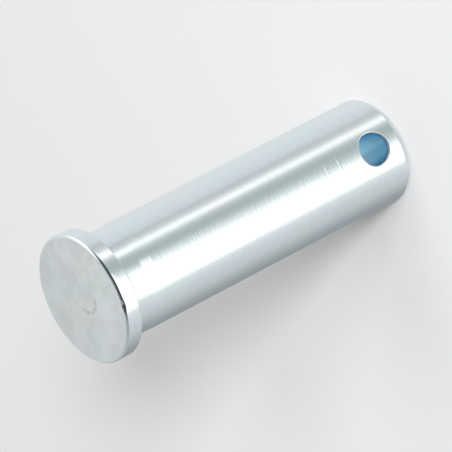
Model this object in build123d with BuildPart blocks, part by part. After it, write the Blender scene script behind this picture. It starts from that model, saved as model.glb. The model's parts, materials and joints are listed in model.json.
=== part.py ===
from build123d import *
import os

# A clevis pin with a flat cylindrical head, turned from round bar as one piece and drilled across
# near its tip for a split pin. Millimetres. It stands on its tip: the origin is the middle of the
# tip's end face, +Z runs up the centre line to the head, and the split-pin hole runs along Y.

# Head
head_diameter = 22.0
head_thickness = 3.0
head_face_round = 0.45  # radius on the edge of the outer face
head_back_round = 0.2  # radius on the edge of the bearing face, under the head

# Shank
shank_diameter = 18.0
shank_length = 59.0  # from the bearing face to the end of the tip
tip_chamfer_length = 1.1  # measured along the shank
tip_chamfer_depth = 0.8  # measured across it, on the radius
tip_edge_round = 0.25  # radius on both edges of the chamfer

# Neck, a shallow relief turned next to the head so that a plate seats square on the bearing face
neck_length = 4.2  # from the bearing face to the top of the shoulder
neck_relief = 0.1  # on the radius
neck_corner_round = 0.3  # radius left by the tool where the neck meets the head
shoulder_length = 0.15  # slope from the neck out to the shank

# Split-pin hole
hole_diameter = 5.5
hole_to_tip = 6.1  # from the hole's centre line to the end of the tip
hole_edge_break = 0.2  # burr taken off both mouths

# Radii and heights worked out from the sizes above
head_radius = head_diameter / 2
shank_radius = shank_diameter / 2
neck_radius = shank_radius - neck_relief
tip_face_radius = shank_radius - tip_chamfer_depth
bearing_height = shank_length
head_face_height = bearing_height + head_thickness
neck_height = bearing_height - neck_length
shoulder_height = neck_height - shoulder_length

with BuildPart() as clevis_pin:
    # Half of the lengthwise section: up the shank, in to the neck, and out round the head
    with BuildSketch(Plane.XZ) as half_section:
        with BuildLine():
            Polyline(
                (0, 0),
                (tip_face_radius, 0),
                (shank_radius, tip_chamfer_length),
                (shank_radius, shoulder_height),
                (neck_radius, neck_height),
                (neck_radius, bearing_height),
                (head_radius, bearing_height),
                (head_radius, head_face_height),
                (0, head_face_height),
                close=True,
            )
        make_face()
        # Each corner that a finger or a mating part meets is rounded
        for corner, radius in (
            ((tip_face_radius, 0), tip_edge_round),
            ((shank_radius, tip_chamfer_length), tip_edge_round),
            ((neck_radius, bearing_height), neck_corner_round),
            ((head_radius, bearing_height), head_back_round),
            ((head_radius, head_face_height), head_face_round),
        ):
            fillet(half_section.vertices().sort_by_distance(corner)[0], radius)
    revolve(axis=Axis.Z)

    # Split-pin hole, straight through the centre line, with both curved mouths chamfered
    with Locations(Plane(origin=(0, 0, hole_to_tip), z_dir=(0, -1, 0))):
        Hole(radius=hole_diameter / 2)
    mouths = clevis_pin.edges(Select.LAST).filter_by(GeomType.LINE, reverse=True)
    chamfer(mouths, hole_edge_break)

clevis_pin.part.label = "clevis_pin"

os.makedirs("parts", exist_ok=True)
export_step(clevis_pin.part, "parts/clevis_pin.step")
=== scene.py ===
import bmesh
import bpy
import json
import math
import numpy as np
from mathutils import Matrix, Vector


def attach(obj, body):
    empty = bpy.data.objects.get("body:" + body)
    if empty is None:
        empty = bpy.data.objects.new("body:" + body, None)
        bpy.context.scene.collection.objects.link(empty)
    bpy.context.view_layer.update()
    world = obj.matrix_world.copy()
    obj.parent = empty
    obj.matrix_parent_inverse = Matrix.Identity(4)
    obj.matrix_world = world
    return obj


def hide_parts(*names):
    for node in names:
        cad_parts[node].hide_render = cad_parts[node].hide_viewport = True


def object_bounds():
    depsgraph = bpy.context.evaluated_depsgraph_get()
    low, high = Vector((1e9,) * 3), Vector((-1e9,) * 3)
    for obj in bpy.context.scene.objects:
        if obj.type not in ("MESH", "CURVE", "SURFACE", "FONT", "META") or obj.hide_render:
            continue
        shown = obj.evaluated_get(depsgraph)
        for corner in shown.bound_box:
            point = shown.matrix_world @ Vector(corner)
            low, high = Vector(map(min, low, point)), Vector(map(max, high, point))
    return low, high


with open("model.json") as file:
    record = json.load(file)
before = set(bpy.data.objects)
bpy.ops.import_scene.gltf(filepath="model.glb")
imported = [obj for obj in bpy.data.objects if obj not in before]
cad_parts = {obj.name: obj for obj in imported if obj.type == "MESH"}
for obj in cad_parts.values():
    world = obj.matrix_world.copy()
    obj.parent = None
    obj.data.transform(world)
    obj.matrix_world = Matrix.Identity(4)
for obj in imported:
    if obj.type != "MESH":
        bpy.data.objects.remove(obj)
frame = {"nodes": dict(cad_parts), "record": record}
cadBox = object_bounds()
print("stage 1: frame loaded,", len(frame["nodes"]), "node")

mm = 0.001
mounts = {mount["name"]: mount for mount in frame["record"]["mounts"]}
shankRadius = mounts["shank"]["dims"]["r_mm"] * mm
holeRadius = mounts["split_pin_hole"]["dims"]["r_mm"] * mm
holeHeight = mounts["split_pin_hole"]["pos_m"][2]
bearingHeight = mounts["head_bearing_face"]["pos_m"][2]
headHeight = cadBox[1].z
headRadius = 0.5 * (cadBox[1].x - cadBox[0].x)

cameraSettings = {
    "azimuth": 0.0,  # degrees round the pin, 0 faces the mouth of the cross hole
    "elevation": 31.76,  # degrees above the floor
    "roll": -117.38,  # degrees, so the head lies low on the left and the tip high on the right
    "distance": 797.3 * mm,
    "aim": (-0.06 * mm, 0.0, 32.24 * mm),
    "lens": 397.5,
}


def compassDirection(azimuth, elevation):
    # Unit vector towards a compass angle (0 is -Y, 90 is +X) and a height above the horizon, in degrees
    azimuth, elevation = math.radians(azimuth), math.radians(elevation)
    return Vector((math.sin(azimuth) * math.cos(elevation),
                   -math.cos(azimuth) * math.cos(elevation),
                   math.sin(elevation)))


def makeCamera(s):
    away = compassDirection(s["azimuth"], s["elevation"])
    camera = bpy.data.objects.new("camera", bpy.data.cameras.new("camera"))
    camera.data.lens = s["lens"]
    camera.data.clip_start = 0.05
    camera.data.clip_end = 50.0
    place = Matrix.Translation(Vector(s["aim"]) + away * s["distance"])
    turn = (-away).to_track_quat("-Z", "Y").to_matrix().to_4x4()
    camera.matrix_world = place @ turn @ Matrix.Rotation(math.radians(s["roll"]), 4, "Z")
    bpy.context.scene.collection.objects.link(camera)
    bpy.context.scene.camera = camera


makeCamera(cameraSettings)

pinSettings = {
    "headFaceRound": 0.48 * mm,
    "headBackRound": 0.20 * mm,
    "tipChamferLength": 1.1 * mm,
    "tipChamferDepth": 0.8 * mm,
    "tipEdgeRound": 0.25 * mm,
    "neckLength": 4.2 * mm,
    "neckRelief": 0.06 * mm,
    "neckCornerRound": 0.3 * mm,
    "shoulderLength": 2.0 * mm,  # the slope from the neck out to the shank
    "shoulderRound": 3.0 * mm,
    "holeEdgeBreak": 0.2 * mm,
    "columns": 240,  # round the pin, a multiple of 4
    "patchColumns": 60,  # columns that the patch round each hole mouth takes, an even number
    "patchRows": 36,
    "patchReach": 3.95 * mm,  # from the hole's centre line to the patch's ends, along the pin
    "patchRings": 14,  # from the patch's border in to the mouth
    "lipRings": 5,
    "boreRings": 24,
    "knockAngle": -20.0,  # degrees from -Y towards +X, a knock in the head's front edge
    "knockWidth": 4.0,  # degrees
    "knockDepth": 0.20 * mm,
    "edgeWear": 0.03 * mm,  # how far the front edge wanders
    "edgeReach": 0.45 * mm,  # from the edge's corner to where the wear has faded
    # Waves of the wear round the edge: share, count in a turn and phase in radians
    "edgeWaves": [(0.20, 5, 1.0), (0.17, 11, 2.2), (0.13, 23, 0.4)],
}


def roundedCorner(before, corner, after, radius, steps):
    # Arc tangent to both sides of a corner: its centre lies on the bisector, radius / sin(half angle) away
    before, corner, after = (np.array(point, float) for point in (before, corner, after))
    back = (before - corner) / np.linalg.norm(before - corner)
    ahead = (after - corner) / np.linalg.norm(after - corner)
    half = 0.5 * math.acos(float(np.clip(back @ ahead, -1, 1)))
    centre = corner + (back + ahead) / np.linalg.norm(back + ahead) * radius / math.sin(half)
    start = corner + back * radius / math.tan(half) - centre
    end = corner + ahead * radius / math.tan(half) - centre
    first = math.atan2(start[1], start[0])
    sweep = (math.atan2(end[1], end[0]) - first + math.pi) % (2 * math.pi) - math.pi
    angles = first + sweep * np.linspace(0, 1, steps + 1)
    return centre + radius * np.stack([np.cos(angles), np.sin(angles)], 1)


def straight(start, end, steps):
    # Points between start and end, ends left out: t = (1 - cos(pi i / steps)) / 2 crowds them at both ends
    t = 0.5 - 0.5 * np.cos(np.pi * np.arange(1, steps) / steps)
    return np.array(start) + t[:, None] * (np.array(end) - np.array(start))


def section(corners):
    # A half section as (radius, height) points. Each corner is
    # (point, rounding radius, steps round it, steps along the stretch that leads to it)
    points = [np.array([corners[0][0]], float)]
    for i in range(1, len(corners)):
        point, radius, arcSteps, steps = corners[i]
        if radius:
            arc = roundedCorner(corners[i - 1][0], point, corners[i + 1][0], radius, arcSteps)
        else:
            arc = np.array([point], float)
        points.append(straight(points[-1][-1], arc[0], steps))
        points.append(arc)
    return np.concatenate(points)


def revolved(profile, angles):
    # Grid over (profile point, angle a): x = r cos a, y = r sin a, z = height
    r, z = profile[:, 0, None], profile[:, 1, None]
    return np.stack(np.broadcast_arrays(r * np.cos(angles), r * np.sin(angles), z), -1)


def worn(points, s):
    # Front edge of the head: points near the corner move in, towards the middle of the round, by
    # wear * (1/2 + sum of share * sin(count * a + phase)) plus one knock with a bell-shaped outline
    x, y, z = np.moveaxis(points, -1, 0)
    r = np.hypot(x, y)
    turn = np.degrees(np.arctan2(x, -y))
    near = np.exp(-((headRadius - r) ** 2 + (headHeight - z) ** 2) / s["edgeReach"] ** 2)
    a = np.radians(turn)
    waves = sum((share * np.sin(count * a + phase) for share, count, phase in s["edgeWaves"]), 0.5)
    fromKnock = (turn - s["knockAngle"]) / s["knockWidth"]
    depth = near * (s["edgeWear"] * waves + s["knockDepth"] * np.exp(-fromKnock ** 2))
    scale = 1 - depth * math.sqrt(0.5) / np.maximum(r, headRadius / 2)
    return np.stack([x * scale, y * scale, z - depth * math.sqrt(0.5)], -1)


def mouthPatch(side, s, low, high):
    # Skin between a rectangle on the cylinder and the hole's round mouth. The rectangle's points slide in
    # along straight lines on the unrolled skin, where u runs round the pin and v along it.
    halfWidth = s["patchColumns"] * np.pi / s["columns"] * shankRadius
    acrossSteps = np.linspace(-1, 1, s["patchColumns"] + 1)[:-1]
    alongSteps = np.linspace(-1, 1, s["patchRows"] + 1)[:-1]
    one = np.ones(s["patchRows"])
    level = np.ones(s["patchColumns"])
    u = np.concatenate([acrossSteps, one, -acrossSteps, -one]) * halfWidth
    v = np.concatenate([-level, alongSteps, level, -alongSteps]) * 0.5 * (high - low)
    u, v = np.append(u, u[0]), np.append(v, v[0])
    turn = np.arctan2(v, u)
    mouthRadius = holeRadius + s["holeEdgeBreak"]
    mouthU = np.arcsin(mouthRadius * np.cos(turn) / shankRadius) * shankRadius
    mouthV = mouthRadius * np.sin(turn)
    # Rings t = (i / n) ** 0.7 lie closer together near the mouth
    t = (np.linspace(0, 1, s["patchRings"] + 1) ** 0.7)[:, None]
    a = side * np.pi / 2 + (u + (mouthU - u) * t) / shankRadius
    skin = np.stack([shankRadius * np.cos(a), shankRadius * np.sin(a),
                     holeHeight + v + (mouthV - v) * t], -1)
    # The broken edge: from the skin into the bore on a slightly bulging slope
    w = np.linspace(0, 1, s["lipRings"] + 1)[1:, None]
    bulge = 0.5 * s["holeEdgeBreak"] * w * (1 - w)
    skinDepth = np.sqrt(shankRadius ** 2 - (mouthRadius * np.cos(turn)) ** 2)
    boreDepth = np.sqrt(shankRadius ** 2 - (holeRadius * np.cos(turn)) ** 2) - s["holeEdgeBreak"]
    lipRadius = (1 - w) * mouthRadius + w * holeRadius - bulge
    lipDepth = (1 - w) * skinDepth + w * boreDepth + bulge
    lip = np.stack([-side * lipRadius * np.cos(turn), side * lipDepth,
                    holeHeight + lipRadius * np.sin(turn)], -1)
    return np.concatenate([skin, lip])


def makePin(s):
    tipRadius = shankRadius - s["tipChamferDepth"]
    neckRadius = shankRadius - s["neckRelief"]
    neckHeight = bearingHeight - s["neckLength"]
    low, high = holeHeight - s["patchReach"], holeHeight + s["patchReach"]
    below = section([
        ((0, 0), 0, 0, 0),
        ((tipRadius, 0), s["tipEdgeRound"], 4, 14),
        ((shankRadius, s["tipChamferLength"]), s["tipEdgeRound"], 4, 4),
        ((shankRadius, low), 0, 0, 4),
    ])
    above = section([
        ((shankRadius, high), 0, 0, 0),
        ((shankRadius, neckHeight - s["shoulderLength"]), s["shoulderRound"], 3, 80),
        ((neckRadius, neckHeight), s["shoulderRound"], 3, 1),
        ((neckRadius, bearingHeight), s["neckCornerRound"], 5, 12),
        ((headRadius, bearingHeight), s["headBackRound"], 4, 8),
        ((headRadius, headHeight), s["headFaceRound"], 10, 10),
        ((0, headHeight), 0, 0, 60),
    ])
    # Angles start at the near mouth's middle, at -Y, and the belt has plain skin between the two patches
    step = 2 * np.pi / s["columns"]
    allRound = -np.pi / 2 + step * np.arange(s["columns"] + 1)
    half = s["patchColumns"] // 2
    besidePatch = step * np.arange(half, s["columns"] // 2 - half + 1)
    beltHeights = np.linspace(low, high, s["patchRows"] + 1)
    belt = np.stack([np.full_like(beltHeights, shankRadius), beltHeights], 1)
    near, far = mouthPatch(-1, s, low, high), mouthPatch(1, s, low, high)
    # The bore: each point runs straight along Y from one mouth to the other, near (1 - t) + mirrored t
    across = np.linspace(0, 1, s["boreRings"] + 1)[:, None, None]
    mirrored = near[-1] * np.array([1, -1, 1])
    grids = [
        revolved(below, allRound),
        worn(revolved(above, allRound), s),
        revolved(belt, besidePatch - np.pi / 2),
        revolved(belt, besidePatch + np.pi / 2),
        near,
        far,
        near[-1] * (1 - across) + mirrored * across,
    ]
    points, faces, count = [], [], 0
    for grid in grids:
        numbers = count + np.arange(grid.shape[0] * grid.shape[1]).reshape(grid.shape[:2])
        faces.append(np.stack([numbers[:-1, :-1], numbers[:-1, 1:], numbers[1:, 1:], numbers[1:, :-1]],
                              -1).reshape(-1, 4))
        points.append(grid.reshape(-1, 3))
        count += numbers.size
    mesh = bpy.data.meshes.new("turnedPin")
    mesh.from_pydata(np.concatenate(points).tolist(), [], np.concatenate(faces).tolist())
    work = bmesh.new()
    work.from_mesh(mesh)
    bmesh.ops.remove_doubles(work, verts=work.verts, dist=0.001 * mm)
    work.to_mesh(mesh)
    work.free()
    mesh.shade_smooth()
    pin = bpy.data.objects.new("turnedPin", mesh)
    bpy.context.scene.collection.objects.link(pin)
    print("stage 2: pin made,", len(mesh.vertices), "points,", len(mesh.polygons), "faces")
    return pin


pin = makePin(pinSettings)


def newNode(tree, kind, **sockets):
    node = tree.nodes.new(kind)
    for name, value in sockets.items():
        node.inputs[name].default_value = value
    return node


def plug(tree, value, socket):
    # A value is a number, a colour or another node's output
    if isinstance(value, (int, float)):
        socket.default_value = value
    elif isinstance(value, tuple):
        socket.default_value = (*value, 1.0)
    else:
        tree.links.new(value, socket)


def calc(tree, operation, *values):
    node = tree.nodes.new("ShaderNodeMath")
    node.operation = operation
    for value, socket in zip(values, node.inputs):
        plug(tree, value, socket)
    return node.outputs[0]


def smoothStep(tree, value, low, high, atLow=0.0, atHigh=1.0):
    node = tree.nodes.new("ShaderNodeMapRange")
    node.interpolation_type = "SMOOTHSTEP"
    for name, entry in (("Value", value), ("From Min", low), ("From Max", high),
                        ("To Min", atLow), ("To Max", atHigh)):
        plug(tree, entry, node.inputs[name])
    return node.outputs["Result"]


def band(tree, value, middle, halfWidth, edge):
    # 1 within halfWidth of the middle, falling to 0 over the edge
    away = calc(tree, "ABSOLUTE", calc(tree, "SUBTRACT", value, middle))
    return smoothStep(tree, away, halfWidth, halfWidth + edge, 1.0, 0.0)


def ramp(tree, value, stops):
    node = tree.nodes.new("ShaderNodeValToRGB")
    elements = node.color_ramp.elements
    while len(elements) < len(stops):
        elements.new(0.5)
    for element, (place, colour) in zip(elements, stops):
        element.position = place
        element.color = (*colour, 1.0)
    tree.links.new(value, node.inputs["Fac"])
    return node.outputs["Color"]


def mixed(tree, share, a, b, blend="MIX"):
    node = tree.nodes.new("ShaderNodeMix")
    node.data_type = "RGBA"
    node.blend_type = blend
    for value, socket in zip((share, a, b), (node.inputs[0], node.inputs[6], node.inputs[7])):
        plug(tree, value, socket)
    return node.outputs[2]


def blended(tree, share, a, b):
    node = tree.nodes.new("ShaderNodeMix")
    for value, socket in zip((share, a, b), (node.inputs[0], node.inputs[2], node.inputs[3])):
        plug(tree, value, socket)
    return node.outputs[0]


studioSettings = {
    "paper": (0.80, 0.80, 0.80),  # floor and backdrop
    "ambient": 0.36,  # light that comes evenly from all round, where 1 lights paper as it is written
    # Soft lamps on the camera's side: azimuth towards +X and elevation in degrees, then their own level
    "lamps": [
        {"name": "keyLamp", "azimuth": 8.0, "elevation": 31.0, "size": 0.45, "level": 0.80},
        {"name": "sideLamp", "azimuth": 25.0, "elevation": 42.0, "size": 0.62, "level": 0.22},
        {"name": "topLamp", "azimuth": 62.0, "elevation": 60.0, "size": 1.0, "level": 0.19},
    ],
    "lampDistance": 2.2,
    # What the metal mirrors, by compass angle in degrees: 0 is the camera's side and 90 is -X.
    # Below the horizon, which the upright shank mirrors:
    "below": [
        (-180, 0.84),
        (-150, 0.87),
        (-120, 0.93),
        (-88, 0.86),
        (-79, 0.80),
        (-72, 0.66),
        (-64, 0.77),
        (-59, 0.90),
        (-53, (1.40, 1.31, 1.25)),
        (-47, (1.40, 1.31, 1.25)),
        (-40, (0.78, 0.80, 0.78)),
        (-34, (0.60, 0.64, 0.62)),
        (-26, (0.53, 0.57, 0.56)),
        (-15, (0.58, 0.61, 0.59)),
        (-8, (0.76, 0.80, 0.78)),
        (0, (1.23, 1.17, 1.12)),
        (6, 1.60),
        (50, 1.60),
        (54, (1.17, 1.11, 1.06)),
        (60, 0.93),
        (76, 0.80),
        (96, 0.70),
        (112, 0.57),
        (128, (0.44, 0.45, 0.46)),
        (145, (0.36, 0.38, 0.39)),
        (162, (0.33, 0.36, 0.37)),
        (180, (0.44, 0.48, 0.50)),
    ],
    # and above it:
    "above": [
        (-180, 0.80),
        (-125, 0.95),
        (-108, 1.70),
        (-80, 1.70),
        (-62, 0.35),
        (-42, 0.08),
        (52, 0.08),
        (66, 0.40),
        (130, 0.60),
        (180, 0.80),
    ],
    # Sines of the elevation over which one part turns into the next:
    "depths": (-0.80, -0.64),  # the level right below the pin and the lower strips
    "horizon": (-0.14, -0.02),  # lower strips and upper ones
    "top": (0.88, 0.97),  # upper strips and the level overhead
    "nadir": 0.80,
    "zenith": 0.30,
    "slant": 0.55,  # turns of the compass by which the bright strip's left edge leans per unit of sine
    "slantLimit": 0.05,  # turns, the most that it leans either way
    "slantPlace": (0.5, 0.03, 0.04),  # turns: middle, half width and soft border of what leans
}


def compassStops(entries):
    # A level is a grey, and a stop's place on the ramp goes from 0 at -180 degrees to 1 at 180
    return [((degrees + 180) / 360, level if isinstance(level, tuple) else (level, level, level))
            for degrees, level in entries]


def makeSurround(s):
    world = bpy.data.worlds.new("studio")
    bpy.context.scene.world = world
    world.use_nodes = True
    world.cycles.sampling_method = "NONE"  # light that is even all round needs no map of the surround
    tree = world.node_tree
    tree.nodes.clear()
    split = newNode(tree, "ShaderNodeSeparateXYZ")
    tree.links.new(newNode(tree, "ShaderNodeTexCoord").outputs["Generated"], split.inputs[0])
    x, y, z = split.outputs
    turn = calc(tree, "ARCTAN2", calc(tree, "MULTIPLY", x, -1.0), calc(tree, "MULTIPLY", y, -1.0))
    compass = calc(tree, "MULTIPLY_ADD", turn, 0.5 / math.pi, 0.5)
    # The bright strip's left edge leans, so that the shank mirrors it wider near the head
    shankSine = -math.sin(math.radians(cameraSettings["elevation"]))
    lean = calc(tree, "MULTIPLY", calc(tree, "SUBTRACT", z, shankSine), s["slant"])
    lean = calc(tree, "MINIMUM", calc(tree, "MAXIMUM", lean, -s["slantLimit"]), s["slantLimit"])
    leaning = calc(tree, "MULTIPLY_ADD", lean, band(tree, compass, *s["slantPlace"]), compass)
    below = ramp(tree, leaning, compassStops(s["below"]))
    below = mixed(tree, smoothStep(tree, z, *s["depths"]), (s["nadir"],) * 3, below)
    above = ramp(tree, compass, compassStops(s["above"]))
    above = mixed(tree, smoothStep(tree, z, *s["top"]), above, (s["zenith"],) * 3)
    mirrored = mixed(tree, smoothStep(tree, z, *s["horizon"]), below, above)
    path = newNode(tree, "ShaderNodeLightPath")
    lit = mixed(tree, path.outputs["Is Camera Ray"], (s["ambient"],) * 3, s["paper"])
    lit = mixed(tree, path.outputs["Is Transmission Ray"], lit, s["paper"])
    background = newNode(tree, "ShaderNodeBackground")
    tree.links.new(mixed(tree, path.outputs["Is Glossy Ray"], lit, mirrored), background.inputs["Color"])
    output = newNode(tree, "ShaderNodeOutputWorld")
    tree.links.new(background.outputs[0], output.inputs["Surface"])


def makeFloor(s):
    # Paper that takes the shadow. The metal looks through it to the surround.
    reach = 4.0
    mesh = bpy.data.meshes.new("floor")
    corners = [(-reach, -reach, 0), (reach, -reach, 0), (reach, reach, 0), (-reach, reach, 0)]
    mesh.from_pydata(corners, [], [(0, 1, 2, 3)])
    floor = bpy.data.objects.new("floor", mesh)
    bpy.context.scene.collection.objects.link(floor)
    material = bpy.data.materials.new("floorPaper")
    material.use_nodes = True
    tree = material.node_tree
    tree.nodes.clear()
    paper = newNode(tree, "ShaderNodeBsdfDiffuse", Color=(*s["paper"], 1.0))
    clear = newNode(tree, "ShaderNodeBsdfTransparent")
    share = newNode(tree, "ShaderNodeMixShader")
    tree.links.new(newNode(tree, "ShaderNodeLightPath").outputs["Is Glossy Ray"], share.inputs[0])
    tree.links.new(paper.outputs[0], share.inputs[1])
    tree.links.new(clear.outputs[0], share.inputs[2])
    output = newNode(tree, "ShaderNodeOutputMaterial")
    tree.links.new(share.outputs[0], output.inputs["Surface"])
    mesh.materials.append(material)


def makeLamp(entry, distance):
    away = compassDirection(entry["azimuth"], entry["elevation"])
    data = bpy.data.lights.new(entry["name"], "AREA")
    data.shape = "DISK"
    data.size = entry["size"]
    # A lamp of P watts lights white paper that faces it to the level P / (pi distance) ** 2
    data.energy = entry["level"] * (math.pi * distance) ** 2
    lamp = bpy.data.objects.new(entry["name"], data)
    lamp.location = away * distance
    lamp.rotation_mode = "QUATERNION"
    lamp.rotation_quaternion = away.to_track_quat("Z", "Y")
    lamp.visible_glossy = False
    bpy.context.scene.collection.objects.link(lamp)


makeSurround(studioSettings)
makeFloor(studioSettings)
for lampEntry in studioSettings["lamps"]:
    makeLamp(lampEntry, studioSettings["lampDistance"])
bpy.context.scene.view_settings.view_transform = "Standard"
print("stage 3: floor, lamps and surround made")

plateSettings = {
    "plate": (0.715, 0.795, 0.828),  # bright zinc with a cold cast
    "face": (0.66, 0.712, 0.715),
    "bore": (0.54, 0.80, 0.94),
    "lip": (0.90, 0.93, 0.95),  # the broken edges at the hole's mouths
    "stain": (0.60, 0.57, 0.54),
    "pip": (0.40, 0.39, 0.38),  # the ring where the head was parted off
    "turningShade": 0.97,  # the plate's tone between the turning lines
    "faceShade": 0.90,  # painted shade: the face darkens towards its +Y side, away from the camera
    "cloudShade": 0.80,  # and under its clouds
    "cloudShare": 0.62,
    "filmShare": 0.07,  # of the thin clear film's blue, straw and rose
    "pipShare": 0.6,
    "shankRoughness": 0.145,
    "neckRoughness": 0.075,  # neck and rim are turned finer than the shank
    "faceRoughness": 0.42,
    "boreRoughness": 0.33,
    "lipRoughness": 0.45,
    "turningRoughness": 0.10,  # how much the turning lines break the finish up
    "faceMetal": 0.5,  # the face is matt, so part of its light is scattered
    "turningHeight": 0.009 * mm,  # fine lines that run round the pin
    "grainHeight": 0.004 * mm,  # cloudy unevenness of the plate
    "wearRings": [16.2, 13.5],  # heights in mm of faint lines that a fork's cheek has left
    "wearHeight": 0.008 * mm,
    # Noises: waves in a millimetre along x, y and z, then detail and roughness
    "turningNoise": ((0.40, 0.40, 2.6), 4.0, 0.68),
    "cloudNoise": ((0.30, 0.30, 0.20), 4.0, 0.62),
    "grainNoise": ((1.3, 1.3, 1.3), 3.0, 0.6),
    "filmNoise": ((0.16, 0.16, 0.09), 2.0, 0.5),
    "raggedNoise": ((0.8, 0.8, 0.8), 4.0, 0.65),  # at the borders of stains and ring
    # Stains on the head's face: x, y, radius in mm and strength
    "stains": [
        (-0.3, -1.8, 1.3, 0.55),
        (-1.2, 0.2, 0.9, 0.35),
        (4.4, 1.9, 0.8, 0.30),
        (6.3, 2.1, 0.6, 0.22),
        (-7.0, 5.2, 1.1, 0.30),
    ],
    "pipCentre": (0.0, -0.9),  # mm, as is the radius
    "pipRadius": 2.5,
    "pipHeight": 0.03 * mm,
}


def distance(tree, a, b):
    return calc(tree, "SQRT", calc(tree, "ADD", calc(tree, "MULTIPLY", a, a), calc(tree, "MULTIPLY", b, b)))


def pinPlaces(tree):
    # Object coordinates in mm, with the distances from the pin's and the hole's centre lines
    inMm = newNode(tree, "ShaderNodeVectorMath")
    inMm.operation = "SCALE"
    inMm.inputs["Scale"].default_value = 1 / mm
    tree.links.new(newNode(tree, "ShaderNodeTexCoord").outputs["Object"], inMm.inputs[0])
    split = newNode(tree, "ShaderNodeSeparateXYZ")
    tree.links.new(inMm.outputs[0], split.inputs[0])
    x, y, z = split.outputs
    fromHole = calc(tree, "SUBTRACT", z, holeHeight / mm)
    return {
        "point": inMm.outputs[0], "x": x, "y": y, "z": z,
        "radius": distance(tree, x, y),
        "fromBore": distance(tree, x, fromHole),
    }


def noise(tree, places, perMm, detail=2.0, rough=0.5, colour=False):
    # perMm: how many waves the noise has in a millimetre along x, y and z
    stretch = newNode(tree, "ShaderNodeMapping")
    stretch.inputs["Scale"].default_value = perMm
    tree.links.new(places["point"], stretch.inputs["Vector"])
    node = newNode(tree, "ShaderNodeTexNoise", Scale=1.0, Detail=detail, Roughness=rough)
    tree.links.new(stretch.outputs[0], node.inputs["Vector"])
    return node.outputs["Color" if colour else "Fac"]


def pinRegions(tree, places):
    # Masks, 1 inside: the bore's wall, the broken edge at its mouths, the head's flat face, neck and rim
    r = shankRadius / mm
    hole = holeRadius / mm
    neckStart = (bearingHeight - pinSettings["neckLength"]) / mm
    edge = pinSettings["holeEdgeBreak"] / mm
    inHole = smoothStep(tree, places["fromBore"], hole + 0.02, hole + 0.06, 1.0, 0.0)
    bore = calc(tree, "MULTIPLY", inHole, smoothStep(tree, places["radius"], r - 0.45, r - 0.2, 1.0, 0.0))
    lip = smoothStep(tree, places["fromBore"], hole + edge, hole + edge + 0.05, 1.0, 0.0)
    lip = calc(tree, "MULTIPLY", lip, calc(tree, "SUBTRACT", 1.0, bore))
    face = smoothStep(tree, places["z"], headHeight / mm - 0.03, headHeight / mm - 0.005)
    neck = smoothStep(tree, places["z"], neckStart - 0.15, neckStart)
    return {"bore": bore, "lip": lip, "face": face, "neck": neck}


def faceStains(tree, places, s):
    # Soft blots with ragged edges, and the broken ring round the middle, strongest on its -X side
    warp = calc(tree, "MULTIPLY_ADD", noise(tree, places, *s["raggedNoise"]), 3.2, -1.6)
    blots = None
    for x, y, radius, strength in s["stains"]:
        fromX, fromY = calc(tree, "SUBTRACT", places["x"], x), calc(tree, "SUBTRACT", places["y"], y)
        away = calc(tree, "ADD", distance(tree, fromX, fromY), warp)
        blot = smoothStep(tree, away, 0.3 * radius, 1.2 * radius, strength, 0.0)
        blots = blot if blots is None else calc(tree, "MAXIMUM", blots, blot)
    fromPipX = calc(tree, "SUBTRACT", places["x"], s["pipCentre"][0])
    fromPip = distance(tree, fromPipX, calc(tree, "SUBTRACT", places["y"], s["pipCentre"][1]))
    ring = band(tree, calc(tree, "MULTIPLY_ADD", warp, 0.5, fromPip), s["pipRadius"], 0.12, 0.35)
    ring = calc(tree, "MULTIPLY", ring, smoothStep(tree, fromPipX, -1.6, 0.4, 1.0, 0.0))
    ring = calc(tree, "MULTIPLY", ring, smoothStep(tree, noise(tree, places, (1.1, 1.1, 1.1)), 0.42, 0.55))
    return blots, ring


def shaded(colour, share):
    return tuple(share * channel for channel in colour)


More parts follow.
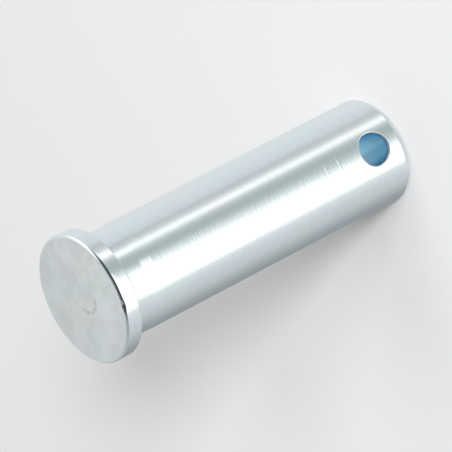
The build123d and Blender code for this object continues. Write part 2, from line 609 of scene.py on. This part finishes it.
def makePlate(s):
    material = bpy.data.materials.new("zincPlate")
    material.use_nodes = True
    tree = material.node_tree
    tree.nodes.clear()
    places = pinPlaces(tree)
    regions = pinRegions(tree, places)
    blots, ring = faceStains(tree, places, s)

    turning = noise(tree, places, *s["turningNoise"])
    clouds = noise(tree, places, *s["cloudNoise"])
    grain = noise(tree, places, *s["grainNoise"])
    film = noise(tree, places, *s["filmNoise"], colour=True)

    # Colour: the plate with its lines, then the face's own with a painted shade that darkens its +Y side,
    # the film over both, and last the hole's
    colour = mixed(tree, smoothStep(tree, turning, 0.35, 0.65), s["plate"],
                   shaded(s["plate"], s["turningShade"]))
    # Painted shade: the face darkens from its -Y side to its +Y side
    faceColour = mixed(tree, smoothStep(tree, places["y"], -shankRadius / mm, shankRadius / mm), s["face"],
                       shaded(s["face"], s["faceShade"]))
    faceColour = mixed(tree, smoothStep(tree, clouds, 0.36, 0.64, 0.0, s["cloudShare"]), faceColour,
                       shaded(s["face"], s["cloudShade"]))
    faceColour = mixed(tree, blots, faceColour, s["stain"])
    faceColour = mixed(tree, calc(tree, "MULTIPLY", ring, s["pipShare"]), faceColour, s["pip"])
    colour = mixed(tree, regions["face"], colour, faceColour)
    colour = mixed(tree, s["filmShare"], colour, film, "OVERLAY")
    colour = mixed(tree, regions["bore"], colour, s["bore"])
    colour = mixed(tree, regions["lip"], colour, s["lip"])

    # Roughness: each region has its own, and the turning lines break it up
    rough = blended(tree, regions["neck"], s["shankRoughness"], s["neckRoughness"])
    rough = calc(tree, "MULTIPLY_ADD", calc(tree, "SUBTRACT", turning, 0.5), s["turningRoughness"], rough)
    rough = blended(tree, regions["face"], rough, s["faceRoughness"])
    rough = blended(tree, regions["bore"], rough, s["boreRoughness"])
    rough = blended(tree, regions["lip"], rough, s["lipRoughness"])

    # Relief, in metres: turning lines, a fifth as deep on neck and rim, then grain, the ring and wear lines
    lines = calc(tree, "MULTIPLY", turning, s["turningHeight"])
    lines = calc(tree, "MULTIPLY", lines, smoothStep(tree, regions["neck"], 0.0, 1.0, 1.0, 0.2))
    grainHeight = calc(tree, "MULTIPLY", regions["face"], s["grainHeight"])
    relief = calc(tree, "MULTIPLY_ADD", grain, grainHeight, lines)
    relief = calc(tree, "MULTIPLY_ADD", ring, -s["pipHeight"], relief)
    patchy = smoothStep(tree, clouds, 0.38, 0.60, 0.25, 1.0)
    for height in s["wearRings"]:
        line = calc(tree, "MULTIPLY", band(tree, places["z"], height, 0.04, 0.14), s["wearHeight"])
        relief = calc(tree, "MULTIPLY_ADD", line, patchy, relief)
    bump = newNode(tree, "ShaderNodeBump", Strength=1.0, Distance=1.0)
    tree.links.new(relief, bump.inputs["Height"])

    shader = newNode(tree, "ShaderNodeBsdfPrincipled")
    tree.links.new(colour, shader.inputs["Base Color"])
    tree.links.new(rough, shader.inputs["Roughness"])
    tree.links.new(blended(tree, regions["face"], 1.0, s["faceMetal"]), shader.inputs["Metallic"])
    tree.links.new(bump.outputs[0], shader.inputs["Normal"])
    output = newNode(tree, "ShaderNodeOutputMaterial")
    tree.links.new(shader.outputs[0], output.inputs["Surface"])
    return material


pin.data.materials.append(makePlate(plateSettings))
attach(pin, "root")
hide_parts("clevis_pin")
print("stage 4: zinc plate on the pin")
